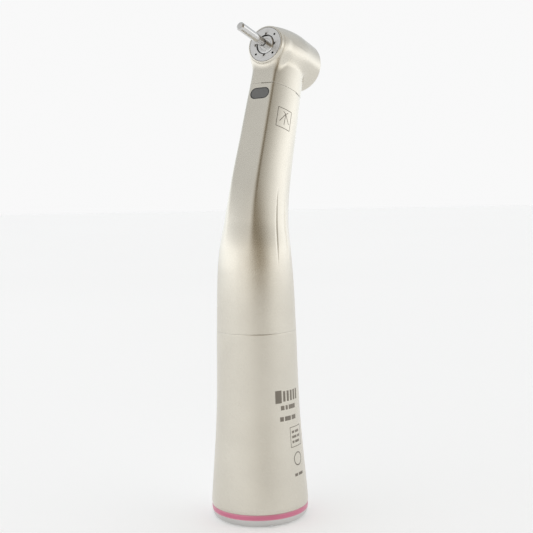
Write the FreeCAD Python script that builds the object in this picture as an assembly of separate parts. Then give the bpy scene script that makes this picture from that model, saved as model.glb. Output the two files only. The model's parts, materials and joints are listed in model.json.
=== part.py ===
import FreeCAD, Part
import math
import os
from FreeCAD import Placement, Rotation, Vector

# Contra angle handpiece, speed-increasing 1:5, push-button head for 1.6 mm friction-grip burs.
# Millimetres. +Z runs up the handle from its motor end. The bur points to -Y and the neck leans to +Y.
# Every solid is made about its own local +Z axis and then placed on the handle, neck or head axis.

# ---- driving dimensions: axes ------------------------------------------------------------------
KNEE_Z = 53.3
NECK_ANGLE = 19.0
NECK_LENGTH = 34.55
BUR_RISE = 13.5
BEND_RADIUS = 49.0

# ---- driving dimensions: outer casings ---------------------------------------------------------
END_RING_TOP = 1.42
COLOUR_RING_TOP = 2.38
SLEEVE_TOP = 34.45
SLEEVE_FLARE = ((9.00, 3.1), (8.50, 9.1), (8.00, 15.5), (7.64, 22.0), (7.355, SLEEVE_TOP))
SLEEVE_WALL = 0.9
COLOUR_RING_RADIUS = 8.9
SEAM_GAP = 0.12
SHEATH_START = SLEEVE_TOP + SEAM_GAP
SHEATH_WALL = 0.65
SHEATH_RADII = ((0.0, 7.33), (8.3, 7.07), (14.6, 6.62), (19.3, 6.0), (25.1, 5.53), (33.0, 5.19),
                (41.0, 4.98), (45.2, 4.84))
KEYSTONE_RADIUS = 4.955
KEYSTONE_CORNER = (1.99, -4.40)
KEYSTONE_CORNER_RADIUS = 0.98
KEYSTONE_BACK_RADIUS = 4.52
KEYSTONE_BACK_OFFSET = 0.74
KEYSTONE_SIDE_RADIUS = 8.1
MORPH_START = 12.0
MORPH_END = 30.0
HEAD_SEAM = 26.6
SECTION_POINTS = 48
WINDOW_PLACE = 24.5
WINDOW_LENGTH = 4.0
WINDOW_WIDTH = 2.2
WINDOW_FACE = 5.30
# turn from the front, start and end along the centreline
GRIP_GROOVES = ((69.5, 12.0, 25.6), (95.0, 11.4, 25.0), (120.5, 12.0, 25.6))
GROOVE_DEPTH = 0.22
GROOVE_RADIUS = 0.45

# ---- driving dimensions: head, measured from the crossing of the neck and bur axes -------------
NOSE_FACE = 6.18
NOSE_RADIUS = 3.58
BARREL_RADIUS = 5.09
BARREL_FRONT = -1.9
BARREL_BACK = -6.5
NOSE_CURVE = 1.79
BUTTON_BACK = -8.9
BUTTON_RADIUS = 4.0

# ---- driving dimensions: light, water and air lines --------------------------------------------
ROD_RADIUS = 0.55
ROD_OFFSET = 5.7
ROD_NECK_OFFSET = 4.08
ROD_TILT = 40.0
LINE_RADIUS = 0.4
LINE_BORE = 0.27
LINE_OFFSET = 5.4
LINE_NECK_OFFSET = 3.78
LINE_SPREAD = 1.8
LINE_BEND = 20.0
# place along the centreline, share of the way to the neck offset
LINE_CORNERS = ((9.5, 0.0), (16.0, 0.35), (23.0, 0.75), (30.0, 1.0))
LINE_CLEARANCE = 0.05
SEAL_HEIGHTS = (15.3, 18.6)
SEAL_MAJOR = 4.92
SEAL_MINOR = 0.2

# ---- driving dimensions: drive -----------------------------------------------------------------
SPIGOT_RADIUS = 3.95
SPIGOT_DEPTH = 20.5
COUPLING_RADIUS = 4.7
INDEX_PIN_RADIUS = 0.5
INDEX_PIN_OFFSET = 5.6
BUR_RADIUS = 0.8
BUR_TIP = 15.05
EPICYCLIC_MODULE = 0.15
SUN_TEETH = 24
PLANET_TEETH = 12
RING_TEETH = 48
PLANET_COUNT = 3
PLANET_LOW = 37.5
PLANET_HIGH = 40.5
PLANET_PIN_RADIUS = 0.3
SHAFT_RADIUS = 1.0
KNEE_TEETH = 18
KNEE_PITCH_RADIUS = 3.0
HEAD_GEAR_TEETH = 20
HEAD_PINION_TEETH = 12
HEAD_GEAR_RADIUS = 3.1
FIT = 0.02

# ---- derived dimensions ------------------------------------------------------------------------
neck_rad = math.radians(NECK_ANGLE)
bend_tangent = BEND_RADIUS * math.tan(neck_rad / 2)
STRAIGHT_PART = KNEE_Z - bend_tangent - SHEATH_START
NECK_START = STRAIGHT_PART + BEND_RADIUS * neck_rad - bend_tangent
HEAD_SEAM_DISTANCE = NECK_START + HEAD_SEAM
WINDOW_DISTANCE = NECK_START + WINDOW_PLACE
PLANET_ORBIT = EPICYCLIC_MODULE * (SUN_TEETH + PLANET_TEETH) / 2
KNEE_CONE = 90 - NECK_ANGLE / 2
HEAD_SHAFT_ANGLE = 90 + BUR_RISE - NECK_ANGLE
BACKWARD = math.pi / 2
FRONTWARD = -math.pi / 2

ORIGIN = Vector(0, 0, 0)
X = Vector(1, 0, 0)
Y = Vector(0, 1, 0)
Z = Vector(0, 0, 1)

KNEE = Vector(0, 0, KNEE_Z)
NECK_AXIS = Vector(0, math.sin(neck_rad), math.cos(neck_rad))
HEAD_CENTRE = KNEE + NECK_AXIS * NECK_LENGTH
HANDLE = Placement()
NECK = Placement(KNEE, Rotation(X, -NECK_ANGLE))
HEAD = Placement(HEAD_CENTRE, Rotation(X, 90 - BUR_RISE))
DIAGONAL = Placement(ORIGIN, Rotation(Z, 45))

# name: frame, bore radius, outer radius, width, lower faces
BEARING_PAIRS = {
    "drive_bearing": (HANDLE, 1.5, 4.2, 3.0, (25.0, 31.5)),
    "sun_bearing": (HANDLE, SHAFT_RADIUS, 3.3, 2.3, (43.6, 48.1)),
    "neck_bearing": (NECK, SHAFT_RADIUS, 3.0, 2.2, (3.6, 27.6)),
    "head_bearing": (HEAD, 1.5, 3.175, 2.1, (-5.4, 3.62)),
}


# ---- general solids ----------------------------------------------------------------------------
def placed(shape, frame):
    moved = shape.copy()
    moved.Placement = frame.multiply(moved.Placement)
    return moved


def revolved(outline):
    """Solid of revolution from a closed outline of (radius, height) points."""
    points = [Vector(radius, 0, height) for radius, height in outline]
    return Part.Face(Part.makePolygon(points + points[:1])).revolve(ORIGIN, Z, 360)


def tube(inner, outer, low, high):
    """Plain cylinder, or a tube where inner is above zero."""
    solid = Part.makeCylinder(outer, high - low, Vector(0, 0, low))
    if inner > 0:
        solid = solid.cut(Part.makeCylinder(inner, high - low + 2, Vector(0, 0, low - 1)))
    return solid


def bored(solid, radius, low, high, x=0.0, y=0.0):
    return solid.cut(Part.makeCylinder(radius, high - low, Vector(x, y, low)))


def curve_through(points):
    curve = Part.BSplineCurve()
    curve.interpolate(points)
    return curve.toShape()


def revolved_edges(edges):
    return Part.Face(Part.Wire(edges)).revolve(ORIGIN, Z, 360)


def line(start, end):
    return Part.makeLine(Vector(start[0], 0, start[1]), Vector(end[0], 0, end[1]))


def arc(start, middle, end):
    return Part.Arc(*[Vector(radius, 0, height) for radius, height in (start, middle, end)]).toShape()


def round_group(count, solid):
    """The same solid repeated evenly about the local axis."""
    turn = 360.0 / count
    return [placed(solid, Placement(ORIGIN, Rotation(Z, turn * index))) for index in range(count)]


# ---- neck section and centreline ---------------------------------------------------------------
def circle_reach(centre_x, centre_y, radius, angle):
    """How far a ray from the origin runs before it leaves a circle."""
    along = centre_x * math.cos(angle) + centre_y * math.sin(angle)
    return along + math.sqrt(along * along - centre_x ** 2 - centre_y ** 2 + radius ** 2)


def side_arc_centre():
    """Centre of the bowed side: an arc that touches the corner arc and the back arc from outside."""
    corner = Vector(*KEYSTONE_CORNER, 0)
    run = Vector(0, KEYSTONE_BACK_OFFSET, 0) - corner
    to_corner = KEYSTONE_SIDE_RADIUS - KEYSTONE_CORNER_RADIUS
    to_back = KEYSTONE_SIDE_RADIUS - KEYSTONE_BACK_RADIUS
    along = (run.Length ** 2 + to_corner ** 2 - to_back ** 2) / (2 * run.Length)
    across = math.sqrt(to_corner ** 2 - along ** 2)
    direction = run / run.Length
    return corner + direction * along + Vector(-direction.y, direction.x, 0) * across


def join_turn(side_centre, arc_centre, arc_radius):
    """Turn about the section's middle of the place where the side arc meets a smaller arc."""
    outward = (arc_centre - side_centre).normalize()
    join = arc_centre + outward * arc_radius
    return math.atan2(join.y, join.x)


def keystone_reach(angle):
    """Radius of the neck section: flat front face, round corners, bowed sides and a round back."""
    folded = math.atan2(math.sin(angle), abs(math.cos(angle)))
    corner = Vector(*KEYSTONE_CORNER, 0)
    back = Vector(0, KEYSTONE_BACK_OFFSET, 0)
    side = side_arc_centre()
    front = corner.y - KEYSTONE_CORNER_RADIUS
    if folded < math.atan2(front, corner.x):
        return front / math.sin(folded)
    if folded < join_turn(side, corner, KEYSTONE_CORNER_RADIUS):
        return circle_reach(corner.x, corner.y, KEYSTONE_CORNER_RADIUS, folded)
    if folded < join_turn(side, back, KEYSTONE_BACK_RADIUS):
        return circle_reach(side.x, side.y, KEYSTONE_SIDE_RADIUS, folded)
    return circle_reach(back.x, back.y, KEYSTONE_BACK_RADIUS, folded)


def blend(value, low, high):
    share = min(1.0, max(0.0, (value - low) / (high - low)))
    return share * share * (3 - 2 * share)


def centreline(distance):
    """Placement on the neck centreline, measured along it from the start of the sheath."""
    if distance <= STRAIGHT_PART:
        return Placement(Vector(0, 0, SHEATH_START + distance), Rotation())
    turned = (distance - STRAIGHT_PART) / BEND_RADIUS
    if turned < neck_rad:
        height = KNEE_Z - bend_tangent + BEND_RADIUS * math.sin(turned)
        point = Vector(0, BEND_RADIUS * (1 - math.cos(turned)), height)
        return Placement(point, Rotation(X, -math.degrees(turned)))
    return Placement(KNEE + NECK_AXIS * (distance - NECK_START), Rotation(X, -NECK_ANGLE))


def sheath_radius(distance):
    """Radius at one place on the centreline: a smooth curve through the given stations."""
    stations = SHEATH_RADII
    slopes = [(after[1] - before[1]) / (after[0] - before[0])
              for before, after in zip((stations[0],) + stations, stations[1:] + (stations[-1],))]
    spans = zip(stations, stations[1:], slopes, slopes[1:])
    for (low, low_radius), (high, high_radius), low_slope, high_slope in spans:
        if distance <= high:
            break
    length = high - low
    share = (distance - low) / length
    rise = share * share * (3 - 2 * share)
    ease_in = share * (1 - share) ** 2 * length
    ease_out = share * share * (share - 1) * length
    return low_radius + (high_radius - low_radius) * rise + low_slope * ease_in + high_slope * ease_out


def sheath_reach(distance, angle):
    """Radius of the neck surface: round over the handle, running into the keystone over the knee."""
    share = blend(distance, MORPH_START, MORPH_END)
    keystone = keystone_reach(angle) / KEYSTONE_RADIUS
    return sheath_radius(distance) * (1 - share + share * keystone)


def sheath_point(distance, angle, lift):
    """Point above the neck surface by lift, at one place along and round it."""
    reach = sheath_reach(distance, angle) + lift
    return centreline(distance).multVec(Vector(reach * math.cos(angle), reach * math.sin(angle), 0))


def neck_section(distance, inset):
    """Closed section wire of the neck at one place on its centreline, shrunk by inset."""
    step = 2 * math.pi / SECTION_POINTS
    points = [sheath_point(distance, step * index, -inset) for index in range(SECTION_POINTS)]
    curve = Part.BSplineCurve()
    curve.interpolate(Points=points, PeriodicFlag=True)
    return Part.Wire(curve.toShape())


def neck_loft(low, high, steps, inset):
    """Solid between two places on the centreline, lofted through evenly spaced sections."""
    step = (high - low) / steps
    wires = [neck_section(low + step * index, inset) for index in range(steps + 1)]
    return Part.makeLoft(wires, True, False)


# ---- gears -------------------------------------------------------------------------------------
def tooth_outline(teeth, root, tip, root_share, tip_share, phase):
    """Points of a toothed outline: each tooth is root_share of a pitch wide at its root."""
    pitch = 2 * math.pi / teeth
    points = []
    for index in range(teeth):
        centre = phase + pitch * index
        for radius, side in ((root, -root_share), (tip, -tip_share), (tip, tip_share), (root, root_share)):
            angle = centre + side * pitch / 2
            points.append(Vector(radius * math.cos(angle), radius * math.sin(angle), 0))
    return points


def toothed_disc(teeth, root, tip, root_share, tip_share, phase, low, high):
    points = tooth_outline(teeth, root, tip, root_share, tip_share, phase)
    face = Part.Face(Part.makePolygon(points + points[:1]))
    face.translate(Vector(0, 0, low))
    return face.extrude(Vector(0, 0, high - low))


def bevel_gear(cone_angle, teeth, pitch_radius, face_share, phase, bore, back):
    """Bevel gear with its apex at the local origin and its back along local +Z."""
    cone = math.radians(cone_angle)
    reach = pitch_radius / math.sin(cone)
    inner = reach * face_share
    pitch = 2 * math.pi * pitch_radius / teeth
    addendum, dedendum = 0.24 * pitch, 0.34 * pitch
    root_half, tip_half = 0.31 * pitch, 0.13 * pitch

    def point(distance, height, side, azimuth):
        scale = distance / reach
        radial = Vector(math.cos(azimuth), math.sin(azimuth), 0)
        across = Vector(-math.sin(azimuth), math.cos(azimuth), 0)
        along = Z * math.cos(cone) + radial * math.sin(cone)
        outward = radial * math.cos(cone) - Z * math.sin(cone)
        return along * distance + outward * height * scale + across * side * scale

    def tooth(azimuth):
        corners = ((-dedendum - 0.05, -root_half), (-dedendum - 0.05, root_half),
                   (addendum, tip_half), (addendum, -tip_half))
        wires = []
        for distance in (inner, reach):
            ring = [point(distance, height, side, azimuth) for height, side in corners]
            wires.append(Part.makePolygon(ring + ring[:1]))
        return Part.makeLoft(wires, True, True)

    root_inner = point(inner, -dedendum, 0, 0)
    root_outer = point(reach, -dedendum, 0, 0)
    body = revolved([(bore, root_inner.z), (root_inner.x, root_inner.z), (root_outer.x, root_outer.z),
                     (root_outer.x, back), (bore, back)])
    teeth_solids = [tooth(phase + 2 * math.pi * index / teeth) for index in range(teeth)]
    return body.multiFuse(teeth_solids).removeSplitter()


# ---- bearings ----------------------------------------------------------------------------------
def bearing(bore, outer, low, high):
    """Outer race, ball set and inner race of a ball bearing, with the balls clear of both races."""
    middle = (bore + outer) / 2
    centre = (low + high) / 2
    ball = min(0.30 * (outer - bore), 0.38 * (high - low))
    count = int(math.pi * middle / (ball * 1.35))
    shoulder = 0.55 * ball
    groove = Part.makeTorus(middle, ball + FIT, Vector(0, 0, centre), Z)
    outer_race = tube(middle + shoulder, outer, low, high).cut(groove)
    inner_race = tube(bore, middle - shoulder, low, high).cut(groove)
    balls = round_group(count, Part.makeSphere(ball, Vector(middle, 0, centre)))
    return outer_race, Part.makeCompound(balls), inner_race


def bearing_pair(frame, bore, outer, width, faces):
    """Outer races, balls and inner races of two equal bearings on one shaft."""
    kinds = zip(*[bearing(bore, outer, low, low + width) for low in faces])
    return [placed(Part.makeCompound(list(kind)), frame) for kind in kinds]


# ---- handle casings ----------------------------------------------------------------------------
def end_ring():
    """Polished ring at the motor end, rounded outside, with four spanner notches in its edge."""
    top_radius = COLOUR_RING_RADIUS - 0.05
    inner = COUPLING_RADIUS + 0.08
    edges = [line((inner, 0.25), (inner, END_RING_TOP)),
             line((inner, END_RING_TOP), (top_radius, END_RING_TOP)),
             line((top_radius, END_RING_TOP), (top_radius, 1.05)),
             arc((top_radius, 1.05), (8.5, 0.32), (7.75, 0)),
             line((7.75, 0), (inner + 0.25, 0)),
             line((inner + 0.25, 0), (inner, 0.25))]
    ring = bored_for_rod(revolved_edges(edges), -1, 2)
    ring = bored(ring, INDEX_PIN_RADIUS + FIT, -1, 2, 0, INDEX_PIN_OFFSET)
    notch = placed(Part.makeCylinder(0.55, 3.0, Vector(6.9, 0, -0.12), X), DIAGONAL)
    return ring.cut(round_group(4, notch))


def colour_ring():
    low, high, outer = END_RING_TOP + 0.01, COLOUR_RING_TOP, COLOUR_RING_RADIUS
    middle = (low + high) / 2
    edges = [line((7.4, low), (7.4, high)),
             line((7.4, high), (outer, high)),
             arc((outer, high), (outer + 0.06, middle), (outer, low)),
             line((outer, low), (7.4, low))]
    return revolved_edges(edges)


def rear_sleeve():
    """Flared rear sleeve with a spigot below it that carries the colour ring."""
    flare = [Vector(radius, 0, height) for radius, height in SLEEVE_FLARE]
    low = COLOUR_RING_TOP + 0.02
    edge = flare[0].x - 0.1
    top = flare[-1].x
    inner_top, inner_low = top - SLEEVE_WALL, 7.3 - 0.6
    edges = [line((edge, low), (flare[0].x, flare[0].z)),
             curve_through(flare),
             line((top, SLEEVE_TOP), (inner_top, SLEEVE_TOP)),
             line((inner_top, SLEEVE_TOP), (inner_top, 21.0)),
             line((inner_top, 21.0), (inner_low, 14.0)),
             line((inner_low, 14.0), (inner_low, END_RING_TOP + 0.02)),
             line((inner_low, END_RING_TOP + 0.02), (7.35, END_RING_TOP + 0.02)),
             line((7.35, END_RING_TOP + 0.02), (7.35, low)),
             line((7.35, low), (edge, low))]
    return revolved_edges(edges)


def coupling_tube():
    """Tube that takes the motor's spigot, with a chamfered mouth."""
    mouth, low, high = SPIGOT_RADIUS + 0.35, 0.3, SPIGOT_DEPTH + 1.0
    return revolved([(mouth, low), (COUPLING_RADIUS, low), (COUPLING_RADIUS, high), (SPIGOT_RADIUS, high),
                     (SPIGOT_RADIUS, low + 0.5)])


# ---- light, water and air lines ----------------------------------------------------------------
def offset_point(distance, offset):
    """Point in the symmetry plane, offset to the front of the centreline."""
    return centreline(distance).multVec(Vector(0, -offset, 0))


def rounded_path(points, radii):
    """Straight runs between the points, joined by tangent arcs of the given radii."""
    edges = []
    start = points[0]
    for index in range(1, len(points) - 1):
        corner = points[index]
        back = (points[index - 1] - corner).normalize()
        ahead = (points[index + 1] - corner).normalize()
        half = back.getAngle(ahead) / 2
        trim = radii[index - 1] / math.tan(half)
        inward = (back + ahead).normalize()
        centre = corner + inward * (radii[index - 1] / math.sin(half))
        first, last = corner + back * trim, corner + ahead * trim
        edges.append(Part.makeLine(start, first))
        edges.append(Part.Arc(first, centre - inward * radii[index - 1], last).toShape())
        start = last
    edges.append(Part.makeLine(start, points[-1]))
    return Part.Wire(edges)


def pipe(path, radius, bore=0.0):
    start = path.Vertexes[0].Point
    direction = path.Edges[0].tangentAt(path.Edges[0].FirstParameter)

    def sweep(size):
        ring = Part.Wire(Part.makeCircle(size, start, direction))
        return path.makePipeShell([ring], True, False)

    solid = sweep(radius)
    return solid.cut(sweep(bore)) if bore > 0 else solid


def line_route(side, low, handle_offset, neck_offset, end):
    """Route along the front, at one sideways distance, closing in on the centreline over the knee."""
    points = [Vector(0, -handle_offset, low)]
    for distance, share in LINE_CORNERS:
        points.append(offset_point(distance, handle_offset + (neck_offset - handle_offset) * share))
    points.append(offset_point(end, neck_offset))
    return [point + Vector(side, 0, 0) for point in points]


def light_rod():
    """Glass light guide from the motor end to the window, turned out at its end."""
    end = WINDOW_DISTANCE - 0.2
    points = line_route(0.0, 0.4, ROD_OFFSET, ROD_NECK_OFFSET, end - 0.55)
    tilt = math.radians(ROD_TILT)
    outward = centreline(end).Rotation.multVec(Vector(0, -math.sin(tilt), math.cos(tilt)))
    points.append(points[-1] + outward * 0.58)
    return pipe(rounded_path(points, [LINE_BEND] * len(LINE_CORNERS) + [1.2]), ROD_RADIUS)


def spray_line(side):
    """Thin tube for water or air, from the manifold to the head."""
    points = line_route(side, 17.0, LINE_OFFSET, LINE_NECK_OFFSET, HEAD_SEAM_DISTANCE - 0.1)
    return pipe(rounded_path(points, [LINE_BEND] * len(LINE_CORNERS)), LINE_RADIUS, LINE_BORE)


def bored_for_rod(solid, low, high):
    return bored(solid, ROD_RADIUS + LINE_CLEARANCE, low, high, 0, -ROD_OFFSET)


def bored_for_lines(solid, low, high):
    for side in (-LINE_SPREAD, LINE_SPREAD):
        solid = bored(solid, LINE_RADIUS + LINE_CLEARANCE, low, high, side, -LINE_OFFSET)
    return solid


def seal(major, minor, height):
    return Part.makeTorus(major, minor, Vector(0, 0, height), Z)


def manifold_seals():
    """Two O-rings between the coupling tube and the spray manifold's bore."""
    return Part.makeCompound([seal(SEAL_MAJOR, SEAL_MINOR, height) for height in SEAL_HEIGHTS])


def spray_manifold():
    """Ring between the coupling tube and the sleeve that feeds the water and air lines."""
    ring = bored_for_rod(tube(COUPLING_RADIUS + FIT, 6.4, 14.5, 19.5), 14, 20)
    ring = bored_for_lines(ring, 16.9, 20)
    return ring.cut([seal(SEAL_MAJOR, SEAL_MINOR + 0.03, height) for height in SEAL_HEIGHTS])


# ---- neck sheath and window --------------------------------------------------------------------
def stadium(length, width, low, high):
    """Slot-shaped plate, long across X, standing along local +Z."""
    half = (length - width) / 2
    radius = width / 2
    plate = Part.makeBox(2 * half, width, high - low, Vector(-half, -radius, low))
    ends = [Part.makeCylinder(radius, high - low, Vector(side, 0, low)) for side in (-half, half)]
    return plate.multiFuse(ends).removeSplitter()


def window_frame():
    """Placement on the front face of the neck, local +Z pointing out of the face."""
    return centreline(WINDOW_DISTANCE).multiply(Placement(ORIGIN, Rotation(X, 90)))


def neck_sheath():
    outer = neck_loft(0.0, HEAD_SEAM_DISTANCE, 14, 0.0)
    inner = neck_loft(-0.5, HEAD_SEAM_DISTANCE + 0.5, 14, SHEATH_WALL)
    shell = outer.cut(inner)
    window = placed(stadium(WINDOW_LENGTH, WINDOW_WIDTH, 3.9, 7.0), window_frame())
    return shell.cut([window] + grip_grooves())


def grip_grooves():
    """Long shallow finger grooves on both sides of the knee."""
    grooves = []
    for side in (-1, 1):
        for turn, low, high in GRIP_GROOVES:
            grooves.append(groove_cutter(side * turn, low, high))
    return grooves


def groove_cutter(turn, low, high):
    """Rod along the neck surface that cuts one groove; it rises out of the surface at both ends."""
    angle = math.radians(turn) + FRONTWARD
    points = []
    for share in (0.0, 0.25, 0.5, 0.75, 1.0):
        depth = GROOVE_DEPTH * math.sin(math.pi * (0.12 + 0.76 * share))
        points.append(sheath_point(low + (high - low) * share, angle, GROOVE_RADIUS - depth))
    curve = Part.BSplineCurve()
    curve.interpolate(points)
    return pipe(Part.Wire(curve.toShape()), GROOVE_RADIUS)


def lens():
    """Glass plate that fills the window."""
    plate = stadium(WINDOW_LENGTH - 3 * FIT, WINDOW_WIDTH - 3 * FIT, WINDOW_FACE - 0.5, WINDOW_FACE)
    return placed(plate, window_frame())


# ---- inner frame -------------------------------------------------------------------------------
def core_tube():
    """Inner tube of the handle that holds the bearings and the ring gear."""
    outline = [(4.22, 21.6), (4.65, 21.6), (4.65, 42.0), (3.8, 43.2), (3.8, 50.6), (3.32, 50.6), (3.32, 42.8),
               (4.22, 41.8)]
    return revolved(outline)


def joint_ring():
    """Ring inside the lower seam that joins the sleeve and the sheath, open for the lines."""
    ring = revolved([(4.68, 31.0), (6.42, 31.0), (6.42, 34.5), (6.6, 34.6), (6.6, 38.0), (4.68, 38.0)])
    return bored_for_lines(bored_for_rod(ring, 30, 39), 30, 39)


def neck_tube():
    return placed(tube(3.02, 3.38, 2.6, 26.5), NECK)


def ring_gear():
    pitch = EPICYCLIC_MODULE * RING_TEETH / 2
    space = toothed_disc(RING_TEETH, pitch - 0.11, pitch + 0.17, 0.72, 0.42, 0.0, 36.9, 41.6)
    return tube(0, 4.2, 37.2, 41.2).cut(space)


# ---- epicyclic stage ---------------------------------------------------------------------------
def external_gear(teeth, phase, low, high, bore):
    pitch = EPICYCLIC_MODULE * teeth / 2
    disc = toothed_disc(teeth, pitch - 0.16, pitch + 0.11, 0.62, 0.26, phase, low, high)
    return bored(disc, bore, low - 1, high + 1)


def planets():
    gear = external_gear(PLANET_TEETH, 0.0, PLANET_LOW, PLANET_HIGH, PLANET_PIN_RADIUS + FIT)
    return round_group(PLANET_COUNT, placed(gear, Placement(X * PLANET_ORBIT, Rotation())))


def drive_shaft():
    return tube(0, 1.5, 23.2, 36.0)


def drive_dog():
    """Two-jaw dog that the motor's shaft turns."""
    body = tube(0, 1.9, 21.9, 24.4)
    body = bored(body, 1.02, 21.0, 23.2)
    slot = Part.makeBox(1.1, 5.0, 1.4, Vector(-0.55, -2.5, 21.8))
    return body.cut(slot).cut(tube(0, 1.5, 23.2, 25.0))


def planet_carrier():
    """Two plates joined by three posts; the planets turn on pins between them."""
    rear = tube(0, 3.3, 36.0, 37.2)
    front = tube(2.15, 3.3, 40.8, 41.5)
    half_way = Placement(ORIGIN, Rotation(Z, 180 / PLANET_COUNT))
    post = placed(Part.makeCylinder(0.55, 4.4, Vector(2.6, 0, 36.8)), half_way)
    body = rear.multiFuse([front] + round_group(PLANET_COUNT, post))
    return body.cut(planet_pin_solids()).removeSplitter()


def planet_pin_solids():
    pin = Part.makeCylinder(PLANET_PIN_RADIUS, 5.2, Vector(PLANET_ORBIT, 0, 36.2))
    return round_group(PLANET_COUNT, pin)


def planet_pins():
    return Part.makeCompound(planet_pin_solids())


def sun_gear():
    return external_gear(SUN_TEETH, math.pi / SUN_TEETH, PLANET_LOW, PLANET_HIGH, SHAFT_RADIUS)


def sun_shaft():
    return tube(0, SHAFT_RADIUS, 37.4, 52.0)


# ---- bevel stages ------------------------------------------------------------------------------
def flipped(frame):
    """The same place with local +Z turned round and local +Y kept in the symmetry plane."""
    return frame.multiply(Placement(ORIGIN, Rotation(X, 180)))


def knee_gear(frame, phase):
    gear = bevel_gear(KNEE_CONE, KNEE_TEETH, KNEE_PITCH_RADIUS, 0.62, phase, SHAFT_RADIUS, 1.9)
    return placed(gear, frame)


def knee_input_gear():
    return knee_gear(flipped(Placement(KNEE, Rotation())), FRONTWARD)


def knee_output_gear():
    return knee_gear(NECK, BACKWARD + math.pi / KNEE_TEETH)


def head_cones():
    angle = math.radians(HEAD_SHAFT_ANGLE)
    pinion = math.atan2(math.sin(angle), HEAD_GEAR_TEETH / HEAD_PINION_TEETH + math.cos(angle))
    return HEAD_SHAFT_ANGLE - math.degrees(pinion), math.degrees(pinion)


def head_gear():
    """Crown gear on the neck shaft; its frame points back down the neck."""
    cone = head_cones()[0]
    gear = bevel_gear(cone, HEAD_GEAR_TEETH, HEAD_GEAR_RADIUS, 0.8, BACKWARD, SHAFT_RADIUS, 2.95)
    frame = flipped(Placement(HEAD_CENTRE, Rotation(X, -NECK_ANGLE)))
    return placed(gear, frame)


def head_pinion():
    cone = head_cones()[1]
    radius = HEAD_GEAR_RADIUS * HEAD_PINION_TEETH / HEAD_GEAR_TEETH
    phase = FRONTWARD + math.pi / HEAD_PINION_TEETH
    gear = bevel_gear(cone, HEAD_PINION_TEETH, radius, 0.8, phase, 1.2, 3.55)
    return placed(gear, HEAD)


def neck_shaft():
    return placed(tube(0, SHAFT_RADIUS, 0.9, NECK_LENGTH - 2.1), NECK)


# ---- head --------------------------------------------------------------------------------------
def nose_radius(height):
    share = min(1.0, (NOSE_FACE - height) / (NOSE_FACE - BARREL_FRONT))
    return NOSE_RADIUS + (BARREL_RADIUS - NOSE_RADIUS) * (1 - (1 - share) ** NOSE_CURVE)


def head_barrel():
    steps = 6
    span = NOSE_FACE - BARREL_FRONT
    heights = [NOSE_FACE - 0.25 - (span - 0.25) * index / steps for index in range(steps + 1)]
    nose = [Vector(nose_radius(height), 0, height) for height in heights]
    edges = [line((0, NOSE_FACE), (NOSE_RADIUS - 0.22, NOSE_FACE)),
             line((NOSE_RADIUS - 0.22, NOSE_FACE), (nose[0].x, nose[0].z)),
             curve_through(nose),
             line((BARREL_RADIUS, BARREL_FRONT), (BARREL_RADIUS, BARREL_BACK + 0.4)),
             line((BARREL_RADIUS, BARREL_BACK + 0.4), (BARREL_RADIUS - 0.12, BARREL_BACK)),
             line((BARREL_RADIUS - 0.12, BARREL_BACK), (0, BARREL_BACK)),
             line((0, BARREL_BACK), (0, NOSE_FACE))]
    return placed(revolved_edges(edges), HEAD)


def head_stub():
    low = HEAD_SEAM_DISTANCE + SEAM_GAP
    return neck_loft(low, low + 4.6, 3, 0.0)


def head_housing():
    outer = head_barrel().fuse(head_stub())
    cavity = revolved([(0, BARREL_BACK - 1), (4.3, BARREL_BACK - 1), (4.3, 0.0), (3.45, 3.5), (3.19, 3.5),
                       (3.19, 5.75), (3.3, 5.75), (3.3, 7.0), (0, 7.0)])
    shaft_bore = tube(0, 3.02, HEAD_SEAM - 1, NECK_LENGTH - 1.0)
    return outer.cut([placed(cavity, HEAD), placed(shaft_bore, NECK)])


def nose_ring():
    """Face ring around the chuck with four spanner notches and four spray outlets."""
    ring = tube(1.9, 3.27, NOSE_FACE - 0.4, NOSE_FACE)
    notch = Part.makeBox(0.7, 0.5, 1.0, Vector(1.6, -0.25, NOSE_FACE - 0.25))
    outlet = placed(Part.makeCylinder(0.22, 2.0, Vector(2.55, 0, NOSE_FACE - 1.0)), DIAGONAL)
    return placed(ring.cut(round_group(4, notch) + round_group(4, outlet)), HEAD)


def spindle():
    """Hollow spindle on its two bearing seats, with the polished chuck nose in front."""
    body = revolved([(0.75, -5.55), (1.5, -5.55), (1.5, -3.1), (1.75, -3.1), (1.75, -2.9), (1.2, -2.9),
                     (1.2, 3.57), (1.5, 3.57), (1.5, 5.75), (1.7, 5.75), (1.7, 6.05), (1.55, NOSE_FACE - 0.02),
                     (1.07, NOSE_FACE - 0.02), (1.07, -2.6), (0.75, -2.6)])
    return placed(body, HEAD)


def collet():
    """Friction-grip chuck sleeve, split from behind into three jaws."""
    body = tube(BUR_RADIUS + FIT, 1.05, -2.0, NOSE_FACE - 0.05)
    slit = Part.makeBox(2.0, 0.16, 4.4, Vector(0.2, -0.08, -2.2))
    return placed(body.cut(round_group(3, slit)), HEAD)


def chuck_plunger():
    """Release plunger behind the collet, pushed by the button."""
    body = revolved([(0, -7.3), (1.5, -7.3), (1.5, -6.8), (0.7, -6.6), (0.7, -3.4), (0, -3.0)])
    return placed(body, HEAD)


def bur():
    """Plain polished pin with a chamfered end, held in the chuck by its shank."""
    body = revolved([(0, -1.2), (0.6, -1.2), (BUR_RADIUS, -1.0), (BUR_RADIUS, BUR_TIP - 0.25),
                     (BUR_RADIUS - 0.25, BUR_TIP), (0, BUR_TIP)])
    return placed(body, HEAD)


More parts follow.
